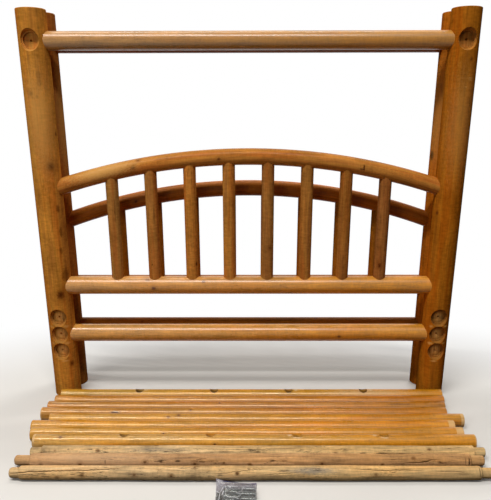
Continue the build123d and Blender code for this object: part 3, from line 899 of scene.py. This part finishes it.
# ------------------------------------------------------------------ loose logs
MOUND = 0.0011  # how tall the mound on a knot is
WANDER, WANDER_CELLS, WANDER_SEED = 3.0, (260, 2), 31  # degrees that a check strays from its path
CHECK_FADE = 0.06  # distance over which a check fades in and out
SWELLS = (((9, 3), 1.0), ((31, 4), 0.5), ((150, 9), 0.22))  # cells along and round, and share
LOWEST = 0.0003  # nothing lies lower than this


def arc(turns: np.ndarray, middle: np.ndarray | float) -> np.ndarray:
    """Degrees from one turn round a log to others, -180 to 180."""
    return (turns - middle + 180) % 360 - 180


@dataclass(frozen=True)
class Check:
    """A drying crack that wanders along a log."""

    path: Path  # its way-points, as distance along the log and degrees round it
    width: float = 0.0022  # half its width
    depth: float = 0.006  # how deep it is

    def groove(self, x: np.ndarray, turns: np.ndarray, base: np.ndarray,
               wander: np.ndarray) -> np.ndarray:
        """Share of the crack's depth at each point.

        Across the path it falls off as a bell curve.  Towards both ends of the path it narrows
        and fades as the square root of the distance left.

        Args:
            x: X of the points, rings x points.
            turns: degrees round the log.
            base: radius of the log.
            wander: degrees that each ring's point of the path strays.

        Returns:
            The share, 0 to 1.
        """
        where, turn = (np.array(c) for c in zip(*self.path))
        off = arc(turns, (np.interp(x[:, 0], where, turn) + wander)[:, None])
        inside = (np.clip((x - where[0]) / CHECK_FADE, 0, 1)
                  * np.clip((where[-1] - x) / CHECK_FADE, 0, 1))
        taper = np.sqrt(inside)
        reach = self.width * (0.35 + 0.65 * taper)
        return taper * np.exp(-(np.radians(off) * base / reach) ** 2)


@dataclass(frozen=True)
class LooseLog:
    """A loose round log that lies along X, as a profile turned about its axis.

    The radius at a point is the profile's radius there, plus slow swells, plus a low mound on
    each knot, less a groove along each check.
    """

    log: Log
    profile: Path  # distance from the start and radius, from end to end
    swell: float  # how tall the slow swells are
    seed: int  # picks the swells
    checks: tuple[Check, ...] = ()
    around: int = 56  # points round it
    step: float = 0.006  # distance between rings

    def _stations(self) -> tuple[np.ndarray, np.ndarray]:
        """Find where the rings go: even steps along the profile, with all its corners kept.

        Returns:
            Distance and radius of every ring.
        """
        s, r = (np.array(c) for c in zip(*self.profile))
        run = np.concatenate([[0.0], np.cumsum(np.hypot(np.diff(s), np.diff(r)))])
        even = np.arange(0.0, run[-1], self.step)
        clear = np.min(np.abs(even[:, None] - run[None]), 1) > self.step * 0.3
        at = np.unique(np.concatenate([run, even[clear]]))
        return np.interp(at, run, s), np.interp(at, run, r)

    def build(self) -> bpy.types.Object:
        """Work out the skin and put it into a mesh.

        Returns:
            The new object, at the origin.
        """
        s, r = self._stations()
        length, (cx, cy, cz) = self.profile[-1][0], self.log.centre
        phi = np.linspace(0, 2 * np.pi, self.around, endpoint=False)
        S_, P = np.meshgrid(s, phi, indexing="ij")
        base, turns = np.broadcast_to(r[:, None], S_.shape), np.degrees(P)
        x = cx - length / 2 + S_
        u, v = S_ / length, P / (2 * np.pi)
        full = np.clip(base / self.log.radius, 0, 1) ** 2
        swell = sum(share * soft_noise(u, v, cells, self.seed + number)
                    for number, (cells, share) in enumerate(SWELLS))
        radius = base + self.swell * swell * full
        for mark in self.log.marks:
            if mark.kind is Blemish.KNOT:
                far = np.hypot((x - mark.along) / mark.reach,
                               np.radians(arc(turns, mark.turn)) * base / mark.spread)
                radius = radius + MOUND * np.exp(-far**2 / 2) * full
        crack = np.zeros_like(S_)
        for number, check in enumerate(self.checks):
            wander = WANDER * soft_noise(u[:, 0], v[:, 0] * 0, WANDER_CELLS,
                                         self.seed + WANDER_SEED + number)
            groove = check.groove(x, turns, base, wander)
            radius = radius - check.depth * groove
            crack = np.maximum(crack, groove)
        # turn 0 faces the front, 90 the crown
        points = np.stack([x, cy - np.cos(P) * radius, cz + np.sin(P) * radius], -1)
        points[..., 2] = np.maximum(points[..., 2], LOWEST)
        poles = np.array([[cx - length / 2, cy, cz], [cx + length / 2, cy, cz]])
        return skin(f"{self.log.name}_skin", np.vstack([points.reshape(-1, 3), poles]),
                    turned_faces(*S_.shape), {"crack": np.append(crack.ravel(), [0.0, 0.0])})


FACE_RINGS, ROUND_RINGS = (0.25, 0.6), 6  # rings on a flat end, as shares, and on its edge


def rounded_end(length: float, radius: float, rounding: float,
                at_start: bool) -> list[tuple[float, float]]:
    """A quarter round at a log's end, from the flat face to the side.

    The quarter circle's points are rounding * (1 - cos t) along and radius - rounding *
    (1 - sin t) out, for t from 0 to 90 degrees.

    Args:
        length: the log's length.
        radius: radius of the log's side there.
        rounding: radius of the quarter round.
        at_start: True at the start of the log.

    Returns:
        Distance and radius of each point, in order along the log.
    """
    t = np.linspace(0, np.pi / 2, ROUND_RINGS)
    side = list(zip(rounding * (1 - np.cos(t)), radius - rounding * (1 - np.sin(t))))
    points = [(0.0, (radius - rounding) * k) for k in FACE_RINGS] + side
    return points if at_start else [(length - s, r) for s, r in reversed(points)]


@dataclass(frozen=True)
class Rail:
    """One loose side rail."""

    name: str  # its node
    y: float  # where its axis lies
    x: float  # where its middle lies
    finish: WoodFinish
    bare: tuple[float, float] = (0.0, 0.0)  # how far the finish stops short of each end
    hole_shade: float = 0.0  # how dark the painted shade inside its holes is


RAILS = (
    Rail("slat_rail_left", 0.3335, 0.016, OILED, hole_shade=0.7),
    Rail("upper_side_rail_left", 0.2555, 0.004, OILED),
    Rail("lower_side_rail_left", 0.1835, -0.013, OILED),
    Rail("canopy_rail_left", 0.1115, -0.026, OILED, (0.006, 0.0)),
    Rail("canopy_rail_right", 0.04, 0.04, OILED_PALE, (0.0, 0.017)),
    Rail("lower_side_rail_right", -0.0315, -0.029, OILED_PALE, (0.0, 0.032)),
    Rail("upper_side_rail_right", -0.103, -0.009, OILED_PALE, (0.0, 0.036)),
    Rail("slat_rail_right", -0.1745, 0.026, OILED_FRONT, (0.012, 0.006), 0.35))


@dataclass(frozen=True)
class SideRails:
    """The eight loose side rails."""

    rails: tuple[Rail, ...] = RAILS
    radius: float = 0.0355
    length: float = 2.102
    end_round: float = 0.003  # rounding of their ends
    swell: float = 0.0004  # how tall their slow swells are
    swell_seed: int = 300  # picks the swells
    swell_step: int = 10  # and from one rail to the next
    seed: float = 41.3  # moves the grain
    seed_step: float = 2.91

    def build(self) -> None:
        """Dress the drilled rails and replace the plain ones by surfaces with a natural swell."""
        ends = (self.length, self.radius, self.end_round)
        profile = tuple(rounded_end(*ends, True) + rounded_end(*ends, False))
        for number, rail in enumerate(self.rails):
            log = Log(rail.name, Lie.ALONG_X, (rail.x, rail.y, self.radius), self.radius,
                      span=(rail.x - self.length / 2, rail.x + self.length / 2), bare=rail.bare,
                      hole_shade=rail.hole_shade, seed=self.seed + self.seed_step * number)
            wood = LogWood(log, rail.finish).build()
            if rail.name.startswith("slat_rail"):
                dress(rail.name, wood)
                continue
            swell_seed = self.swell_seed + self.swell_step * number
            piece = LooseLog(log, profile, self.swell, swell_seed).build()
            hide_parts(rail.name)
            settle(piece, wood)


TENON_R, TENON_ROUND, SHOULDER_RINGS = 0.0229, 0.006, 6
THICK_PART = (0.3, 0.7)  # where a slat's body is thickest, as shares of its length


@dataclass(frozen=True)
class Slat:
    """A bare slat, whittled to a tenon at each end."""

    name: str  # its node
    y: float  # where its axis lies
    x: float  # where its middle lies
    radius: float  # of its body
    length: float  # end to end
    left: float  # length of the left tenon
    right: float  # length of the right tenon
    taper: float  # length of each shoulder
    finish: WoodFinish
    checks: tuple[Check, ...]  # its cracks
    round_left: float = 0.011  # rounding of its left end
    lean: tuple[float, float] = (0.0, 0.0)  # how much thinner the body is at its two ends

    def profile(self) -> Path:
        """End to end: rounded tenon, shoulder, body, shoulder, tenon.

        A shoulder rises from the tenon as a quarter of a sine wave, so that it meets the body
        smoothly.  The body is thickest in its middle and loses up to "lean" towards its ends.

        Returns:
            Distance and radius of each point, in order along the slat.
        """
        t = np.linspace(0, 1, SHOULDER_RINGS)
        ends = self.radius - np.array(self.lean)
        rise, right = np.sin(t * np.pi / 2), self.length - self.right
        points = rounded_end(self.length, TENON_R, self.round_left, True)
        points += zip(self.left + self.taper * t, TENON_R + (ends[0] - TENON_R) * rise)
        points += [(self.length * share, self.radius) for share in THICK_PART]
        points += zip(right - self.taper * t[::-1], TENON_R + (ends[1] - TENON_R) * rise[::-1])
        return tuple(points + rounded_end(self.length, TENON_R, TENON_ROUND, False))


SLATS = (
    Slat("cross_slat_1", -0.2635, 0.041, 0.031, 2.102, 0.051, 0.051, 0.006, GREYED,
         (Check(((0.55, 18), (0.64, 20), (0.75, 16)), 0.0018, 0.003),
          Check(((-0.30, 60), (-0.05, 52), (0.14, 48)), 0.0010, 0.002)), round_left=0.005),
    Slat("cross_slat_2", -0.3345, 0.002, 0.031, 2.120, 0.070, 0.060, 0.008, ROSY,
         (Check(((0.70, 8), (0.772, 14), (0.821, 34), (0.86, 36)), 0.0022, 0.0045),)),
    Slat("cross_slat_3", -0.4385, 0.012, 0.032, 2.114, 0.042, 0.054, 0.012, BARE,
         (Check(((-1.04, 14), (-1.022, 22), (-0.954, 38), (-0.859, 45), (-0.665, 54),
                 (-0.515, 80)), 0.0017, 0.006),
          Check(((-0.16, 22), (-0.123, 24), (0.05, 63), (0.12, 72)), 0.0014, 0.003),
          Check(((0.04, 18), (0.10, 20), (0.24, 34)), 0.0012, 0.003),
          Check(((0.42, 66), (0.496, 62), (0.60, 50), (0.708, 66), (0.74, 70)), 0.0015, 0.004),
          Check(((0.56, 44), (0.66, 50), (0.80, 60)), 0.0011, 0.003),
          Check(((0.78, 40), (0.88, 46), (0.97, 38)), 0.0013, 0.003)), lean=(0.0014, 0.0020)))


@dataclass(frozen=True)
class CrossSlats:
    """The three bare slats that lie in front of the rails."""

    slats: tuple[Slat, ...] = SLATS
    swell: float = 0.0011  # how tall their swells are
    swell_seed: int = 700  # picks the swells
    swell_step: int = 40  # and from one slat to the next
    around: int = 128  # points round each
    step: float = 0.0034  # distance between rings
    seed: float = 77.7  # moves the grain
    seed_step: float = 5.3

    def build(self) -> None:
        """Turn each slat's profile into a surface with checks, knots and hand-cut swells."""
        for number, slat in enumerate(self.slats):
            log = Log(slat.name, Lie.ALONG_X, (slat.x, slat.y, slat.radius), slat.radius,
                      span=(slat.x - slat.length / 2, slat.x + slat.length / 2),
                      seed=self.seed + self.seed_step * number)
            swell_seed = self.swell_seed + self.swell_step * number
            piece = LooseLog(log, slat.profile(), self.swell, swell_seed, slat.checks,
                             self.around, self.step).build()
            wood = CrackedWood(log, slat.finish).build()
            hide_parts(slat.name)
            settle(piece, wood)


# ------------------------------------------------------------------ bag of hardware
@dataclass(frozen=True)
class Crease:
    """A sharp fold in the film."""

    path: Path  # its way-points, as X and Y
    height: float  # how tall it stands
    width: float  # half its width
    white: float = 0.9  # how strongly a white glint is painted on it

    def away(self, x: np.ndarray, y: np.ndarray) -> np.ndarray:
        """Distance of every point from the path.

        Args:
            x: X of the points.
            y: Y of the points.

        Returns:
            The shortest distance to any of the path's segments.
        """
        best = np.full_like(x, 1.0)
        for (ax, ay), (bx, by) in zip(self.path, self.path[1:]):
            run = np.clip(((x - ax) * (bx - ax) + (y - ay) * (by - ay))
                          / ((bx - ax) ** 2 + (by - ay) ** 2), 0, 1)
            best = np.minimum(best, np.hypot(x - ax - run * (bx - ax), y - ay - run * (by - ay)))
        return best


FOLDS = (
    Crease(((-0.1371, -0.5313), (-0.1263, -0.5611), (-0.1143, -0.5683)), 0.003, 0.0035),
    Crease(((-0.1073, -0.5424), (-0.1133, -0.5619), (-0.1143, -0.5683)), 0.0025, 0.0030),
    Crease(((-0.1046, -0.5770), (-0.1072, -0.5868), (-0.1097, -0.5972)), 0.003, 0.0045, 1.0),
    Crease(((-0.1305, -0.5703), (-0.1333, -0.5829)), 0.002, 0.0035),
    Crease(((-0.1190, -0.5700), (-0.1220, -0.6150), (-0.1290, -0.6600)), 0.003, 0.0040),
    Crease(((-0.0989, -0.5404), (-0.0838, -0.5734)), 0.0015, 0.0022, 0.7),
    Crease(((-0.0945, -0.6004), (-0.0845, -0.6152), (-0.0729, -0.6187), (-0.0549, -0.6186),
            (-0.0413, -0.6283)), 0.0016, 0.0024, 1.0),
    Crease(((-0.0602, -0.5002), (-0.0665, -0.5196), (-0.0775, -0.5493)), 0.0022, 0.0030),
    Crease(((-0.0310, -0.5690), (-0.0216, -0.5500), (-0.0103, -0.5329), (-0.0006, -0.5299)),
           0.0018, 0.0026, 0.3),
    Crease(((-0.0515, -0.5835), (-0.0348, -0.5948)), 0.0012, 0.0060, 0.45),
    Crease(((0.0254, -0.5127), (0.0200, -0.5330)), 0.0020, 0.0026, 1.0),
    Crease(((0.0127, -0.4887), (0.0060, -0.5080)), 0.0012, 0.0020, 0.8),
    Crease(((0.0300, -0.4900), (0.0310, -0.5300), (0.0290, -0.6400)), 0.0012, 0.0024, 0.6))
LIP: Path = ((-0.1395, 0.0300), (-0.107, 0.0192), (-0.071, 0.0122), (-0.037, 0.0066),
             (0.0, 0.0036), (0.0355, 0.0062))  # X and height along the mouth
ZIP_RIBS = (0.0, 1.0, 0.3, 0.3, 1.0, 0.3, 0.0, 0.0)  # height of the zip's rows, from the front


@dataclass(frozen=True)
class HardwareBag:
    """The clear zip bag with its lag bolts and washers.

    The film is a membrane: a point's height is the mean of its four neighbours', but never below
    what lies under it, with the rim down on the floor and the mouth leaning towards the slat.
    Folds and finer creases stand on it as ridges that fall off straight from their paths.
    """

    left: float = -0.1395  # X of its left side
    right: float = 0.0355  # X of its right side
    front: float = -0.6800  # Y of its front edge
    mouth: float = -0.4775  # Y of its mouth
    rim: float = 0.0010  # height of the film at the rim
    under: float = 0.0003  # height of the lower film
    clearance: float = 0.0003  # between the hardware and the film
    lip_gap: float = 0.0006  # between the two films at the mouth
    least_gap: float = 0.0004  # between them anywhere
    start_height: float = 0.022  # where the membrane starts from
    ceiling: float = 0.0376  # nothing of it stands higher
    rounds: int = 900  # how often each point takes the mean
    mouth_reach: float = 0.034  # how far from the mouth the film leans with it
    edge_reach: float = 0.006  # how far from an edge the creases die down
    columns: int = 141  # grid points across
    rows: int = 161  # grid points from front to mouth
    bolt_rows: int = 8
    row_pitch: float = 0.0174
    first_row: float = -0.6569  # Y of the first row of bolts
    bolt_z: float = 0.02607  # height of the upper bolts' axes
    shaft_r: float = 0.00475
    shaft_length: float = 0.127
    head_r: float = 0.00826
    head_height: float = 0.0064
    necks: tuple[float, float] = (0.0231, -0.0975)  # X under the heads, by turns
    lean: float = -0.0349  # slope of the upper bolts against X
    stacks: int = 4  # stacks of washers
    stack_pitch: float = 0.03
    stack_x: float = -0.1208
    stack_top: float = 0.0093
    washer_r: float = 0.0127
    fine_creases: int = 34
    fine_length: tuple[float, float] = (0.010, 0.030)
    fine_height: tuple[float, float] = (0.0004, 0.0012)
    # how strongly a white glint is painted on the finer creases
    fine_glint: tuple[float, float] = (0.2, 0.6)
    fine_width: float = 0.0024
    fine_margins: tuple[float, float, float] = (0.008, 0.006, 0.014)  # sides, front, mouth
    zip_start: float = 0.18  # where the zip begins, as a share of the columns
    zip_heights: tuple[float, float] = (0.0001, 0.0006)  # of its two sides, over the film
    rib_height: float = 0.0005

    def plan(self) -> tuple[np.ndarray, np.ndarray]:
        """Lay the grid: both sides draw in by a few millimetres towards the front and waver.

        Returns:
            X and Y of its points.
        """
        v, u = np.meshgrid(np.linspace(0, 1, self.rows), np.linspace(0, 1, self.columns),
                           indexing="ij")
        low = self.left + 0.0042 * (1 - v) ** 0.8 + 0.0006 * np.sin(v * 23.0)
        high = self.right - 0.0022 * (1 - v) - 0.0005 * (1 + np.sin(v * 19.0 + 1.0))
        return low + u * (high - low), self.front + v * (self.mouth - self.front)

    def heap(self, x: np.ndarray, y: np.ndarray) -> np.ndarray:
        """Find how high the hardware stands.

        A bolt's top over a point is its axis plus the square root of its radius squared less the
        distance from the axis squared.  A stack of washers is a flat round.

        Args:
            x: X of the points.
            y: Y of the points.

        Returns:
            Height of the bolts and washers under each point; 0 beside them.
        """
        top = np.zeros_like(x)
        parts = ((self.shaft_r, 0.0, self.shaft_length), (self.head_r, -self.head_height, 0.0))
        for row in range(self.bolt_rows):
            way, neck = (-1, 1)[row % 2], self.necks[row % 2]
            side = np.abs(y - (self.first_row + row * self.row_pitch) - self.lean * (x - neck))
            run = way * (x - neck)
            for radius, start, end in parts:
                over = (side < radius) & (run >= start) & (run <= end)
                height = self.bolt_z + np.sqrt(np.clip(radius**2 - side**2, 0, None))
                top = np.where(over, np.maximum(top, height), top)
        for stack in range(self.stacks):
            seat = self.first_row + self.washer_r + self.stack_pitch * stack
            away = np.hypot(x - self.stack_x, y - seat)
            top = np.where(away < self.washer_r, np.maximum(top, self.stack_top), top)
        return top

    def lip(self, x: np.ndarray) -> np.ndarray:
        """Height of the mouth along X: it leans up at the left and lies low at the right."""
        return np.interp(x, *zip(*LIP))

    def creases(self, x: np.ndarray, y: np.ndarray) -> tuple[np.ndarray, np.ndarray]:
        """Relief and painted white glint of all folds and of seeded finer creases.

        Args:
            x: X of the points.
            y: Y of the points.

        Returns:
            The height to add, and the share of painted white glint.
        """
        pick, count = np.random.default_rng(17), self.fine_creases
        side, front, mouth = self.fine_margins
        starts = pick.uniform((self.left + side, self.front + front),
                              (self.right - side, self.mouth - mouth), (count, 2))
        turns, lengths = pick.uniform(0, np.pi, count), pick.uniform(*self.fine_length, count)
        ends = starts + np.stack([np.cos(turns), np.sin(turns)], -1) * lengths[:, None]
        heights = pick.uniform(*self.fine_height, count)
        glints = pick.uniform(*self.fine_glint, count)
        fine = tuple(Crease((tuple(start), tuple(end)), height, self.fine_width, white)
                     for start, end, height, white in zip(starts, ends, heights, glints))
        relief, glint = np.zeros_like(x), np.zeros_like(x)
        for crease in FOLDS + fine:
            near = np.clip(1 - crease.away(x, y) / crease.width, 0, 1)
            relief = np.maximum(relief, near * crease.height)
            glint = np.maximum(glint, near ** 1.5 * crease.white)
        return relief, glint

    def film_sheets(self) -> tuple[np.ndarray, np.ndarray, np.ndarray]:
        """Drape the film over the hardware.

        Returns:
            The upper film, the lower film, and how much painted glint each point has.
        """
        x, y = self.plan()
        floor = np.maximum(self.heap(x, y) + self.clearance, self.rim)
        near_mouth = np.clip((y - self.mouth + self.mouth_reach) / self.mouth_reach, 0, 1) ** 2
        z = np.maximum(floor, self.start_height)
        z[0], z[-1] = self.rim, self.lip(x[-1])
        for column in (0, -1):
            lift = self.lip(x[-1, column]) - self.rim
            z[:, column] = self.rim + lift * near_mouth[:, column]
        for _ in range(self.rounds):
            mean = (z[:-2, 1:-1] + z[2:, 1:-1] + z[1:-1, :-2] + z[1:-1, 2:]) / 4
            z[1:-1, 1:-1] = np.maximum(mean, floor[1:-1, 1:-1])
        relief, glint = self.creases(x, y)
        edge = np.minimum(np.minimum(x - x[:, :1], x[:, -1:] - x) / self.edge_reach,
                          np.minimum(y - self.front, self.mouth - y) / self.edge_reach)
        z = np.minimum(z + relief * np.clip(edge, 0, 1), self.ceiling)
        under = self.under + (self.lip(x) - self.lip_gap - self.under) * near_mouth
        below = np.minimum(under, z - self.least_gap)
        return np.stack([x, y, z], -1), np.stack([x, y, below], -1), glint

    def film(self) -> bpy.types.Material:
        """Clear, slightly milky film: see-through where flat, painted glints on creases, painted
        shade over the bolts.

        Returns:
            The material.
        """
        shader = Shader(bpy.data.materials.new("clear_film"))
        where, glint = shader.place(), shader.carried("glint")
        crease = shader.noise(where * 120.0, 4.0, 0.65, 0.8)
        crinkle_glint = crease.rise(0.60, 0.74)
        # painted shade: the film is darker where it lies over the bolts
        shaded_over_hardware = where.axes()[1].rise(-0.535, -0.575)
        flat = shader.mix(shaded_over_hardware, srgb("a8a4b0"), srgb("66686a"))
        # painted white glints on folds and crinkles
        return shader.close(Base_Color=shader.mix(glint.most(crinkle_glint * 0.3), flat, srgb("f8f8fb")),
                            Roughness=0.16, Alpha=0.42 + glint * 0.56 + crinkle_glint * 0.15,
                            Normal=shader.bump(crease, 0.0009, 0.8))

    def zip_tape(self) -> bpy.types.Material:
        """The zip: navy plastic at the left, clear and violet-grey where the slider has passed.

        Returns:
            The material.
        """
        shader = Shader(bpy.data.materials.new("zip_tape"))
        where = shader.place()
        x, y, _ = where.axes()
        cloud, rib = shader.noise(where * 240.0, 3.0), (y * 420.0).fract()
        shown = shader.mix(x.rise(-0.031, -0.022), srgb("12184a"), srgb("7c7489"))
        colour = shader.mix(rib.rise(0.55, 0.9) * 0.12, shown, srgb("a9a6bc"))
        return shader.close(Base_Color=colour * (0.75 + cloud * 0.5),
                            Roughness=0.6 + (cloud - 0.5) * 0.2, Specular_IOR_Level=0.0,
                            Normal=shader.bump(rib.rise(0.1, 0.5), 0.0003, 0.8))

    def zinc(self) -> bpy.types.Material:
        """Bright zinc: greenish silver with duller clouds and fine scratches.

        Returns:
            The material.
        """
        shader = Shader(bpy.data.materials.new("zinc_steel"))
        where = shader.place()
        cloud = shader.noise(where * 160.0, 3.0)
        scratch = shader.noise(where * (150.0, 2400.0, 2400.0), 2.0)
        colour = shader.mix(cloud.rise(0.35, 0.7), srgb("7d817b"), srgb("b9bdb8"))
        return shader.close(Base_Color=colour, Metallic=0.95,
                            Roughness=0.27 + (scratch - 0.5) * 0.25,
                            Normal=shader.bump(scratch, 0.00008, 0.5))

    def build(self) -> None:
        """Drape the film, lay the zip along its mouth and dress the hardware."""
        zinc = self.zinc()
        dress("lag_bolts", zinc)
        dress("washers", zinc)
        top, under, glint = self.film_sheets()
        bag = sheet_shell("bag_film", top, under, {"glint": glint})
        over = top[-len(ZIP_RIBS):, int(self.zip_start * self.columns):].copy()
        inner, (low, high) = over.copy(), self.zip_heights
        over[..., 2] += high + np.array(ZIP_RIBS)[:, None] * self.rib_height
        inner[..., 2] += low
        zip_strip = sheet_shell("bag_zip", over, inner, {})
        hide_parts("hardware_bag")
        settle(bag, self.film())
        settle(zip_strip, self.zip_tape())


# ------------------------------------------------------------------ studio
@dataclass(frozen=True)
class Lamp:
    """One soft rectangular lamp."""

    name: str
    place: Place  # where it hangs
    aim: Place  # what it points at
    size: tuple[float, float]  # width and height
    power: float  # in watts
    gleams: bool = True  # False where it is too wide to show as a gleam
    colour: Colour = (1.0, 0.97, 0.93)  # of its light

    def hang(self) -> None:
        """Add the lamp to the scene."""
        data = bpy.data.lights.new(self.name, "AREA")
        data.shape, (data.size, data.size_y) = "RECTANGLE", self.size
        data.energy, data.color = self.power, self.colour
        lamp, ray = put(self.name, data), Vector(self.aim) - Vector(self.place)
        lamp.location, lamp.visible_glossy = self.place, self.gleams
        lamp.rotation_euler = ray.to_track_quat("-Z", "Y").to_euler()


@dataclass(frozen=True)
class Studio:
    """Camera, lamps, floor and background."""

    eye: Place = (0.0005, -2.7734, 1.5184)  # where the camera stands
    tilt: float = 0.3232  # how far it looks down, in radians
    yaw: float = -0.00517  # how far it is turned to the right
    roll: float = -0.0019  # how far it leans
    lens: float = 44.27  # focal length in millimetres on a 36 mm side
    shift: float = 0.14  # upward shift of the frame, as a share of its long side
    ambient: float = 0.04  # strength of the light from all round
    floor_reach: float = 30.0  # half the floor's side
    lamps: tuple[Lamp, ...] = (
        Lamp("front_strip", (-1.5, -3.4, 8.4), (-0.4, 0.3, 0.7), (7.4, 0.16), 670.0),
        Lamp("front_bank", (-2.3, -3.4, 2.4), (0.0, 0.3, 0.6), (1.6, 1.2), 34.0, False),
        Lamp("rear_strip", (-0.5, 2.6, 8.0), (0.0, 0.4, 1.0), (7.0, 0.16), 200.0),
        Lamp("rear_bank", (2.2, 4.3, 2.8), (0.1, 0.6, 0.8), (1.8, 1.4), 62.0, False))

    def camera(self) -> None:
        """Place the camera from its look, right and up directions."""
        level = Vector((math.cos(self.yaw), -math.sin(self.yaw), 0.0))
        look = Vector((math.sin(self.yaw) * math.cos(self.tilt),
                       math.cos(self.yaw) * math.cos(self.tilt), -math.sin(self.tilt)))
        rise = level.cross(look)
        right = level * math.cos(self.roll) + rise * math.sin(self.roll)
        up = rise * math.cos(self.roll) - level * math.sin(self.roll)
        data = bpy.data.cameras.new("camera")
        data.lens, data.sensor_width, data.shift_y = self.lens, 36.0, self.shift
        data.clip_start, data.clip_end = 0.05, 100.0
        camera = put("camera", data)
        turn = Matrix((right, up, -look)).transposed().to_4x4()
        camera.matrix_world = Matrix.Translation(self.eye) @ turn
        bpy.context.scene.camera = camera

    def world(self) -> None:
        """White for the eye, gloss and clear film; a dim even light for everything else."""
        world = bpy.context.scene.world = bpy.data.worlds.new("studio")
        shader = Shader(world)
        strength = shader.node("ShaderNodeMapRange", {},
                               {0: shader.seen(), 3: self.ambient, 4: 1.0})
        shader.end(shader.node("ShaderNodeBackground", {}, {"Color": WHITE, "Strength": strength}),
                   "World")

    def floor(self) -> None:
        """A wide pale floor that keeps the shadows near the bed and fades into the white behind."""
        mesh, far = bpy.data.meshes.new("floor"), self.floor_reach
        mesh.from_pydata([(-far, -far, 0), (far, -far, 0), (far, far, 0), (-far, far, 0)], [],
                         [(0, 1, 2, 3)])
        piece = put("floor", mesh)
        shader = Shader(bpy.data.materials.new("pale_floor"))
        where, seen = shader.place(), shader.seen()
        pale = shader.mix(shader.noise(where * 1.7, 4.0), srgb("dcdad6"), srgb("e4e2de"))
        near = shader.node("ShaderNodeBsdfPrincipled", {}, {
            "Base Color": shader.mix(seen, srgb("343230"), pale), "Roughness": 0.9,
            "Specular IOR Level": 0.1})
        white = shader.node("ShaderNodeEmission", {}, {"Color": WHITE, "Strength": 1.0})
        away = ((where - (0.0, 0.1, 0.0)) * (0.62, 1.0, 0.0)).length().rise(0.75, 1.9)
        shader.end(shader.node("ShaderNodeMixShader", {}, {0: away * seen, 1: near, 2: white}))
        mesh.materials.append(shader.owner)

    def build(self) -> None:
        """Set up everything round the object."""
        self.camera()
        self.world()
        self.floor()
        for lamp in self.lamps:
            lamp.hang()


def main() -> None:
    """Build and dress the bed, one sub-assembly after another."""
    logging.basicConfig(level=logging.INFO, format="%(message)s")
    bpy.context.scene.view_settings.view_transform = "Standard"
    Studio().build()
    EndFrame("headboard", FRONT_Y, STAINED, STAINED_LOW, STAINED_RIGHT_SHADED, STAINED,
             spindle_z=0.6355, bottom_z=0.361, crown_z=1.313, bow=3.225, seed=1.0).build()
    EndFrame("footboard", REAR_Y, STAINED_REAR_SHADED, STAINED_REAR_SHADED, STAINED_REAR_SHADED, REAR_ARCH,
             spindle_z=0.606, bottom_z=0.353, crown_z=1.140, bow=2.900, seed=60.0).build()
    SideRails().build()
    CrossSlats().build()
    HardwareBag().build()


if __name__ == "__main__":
    main()
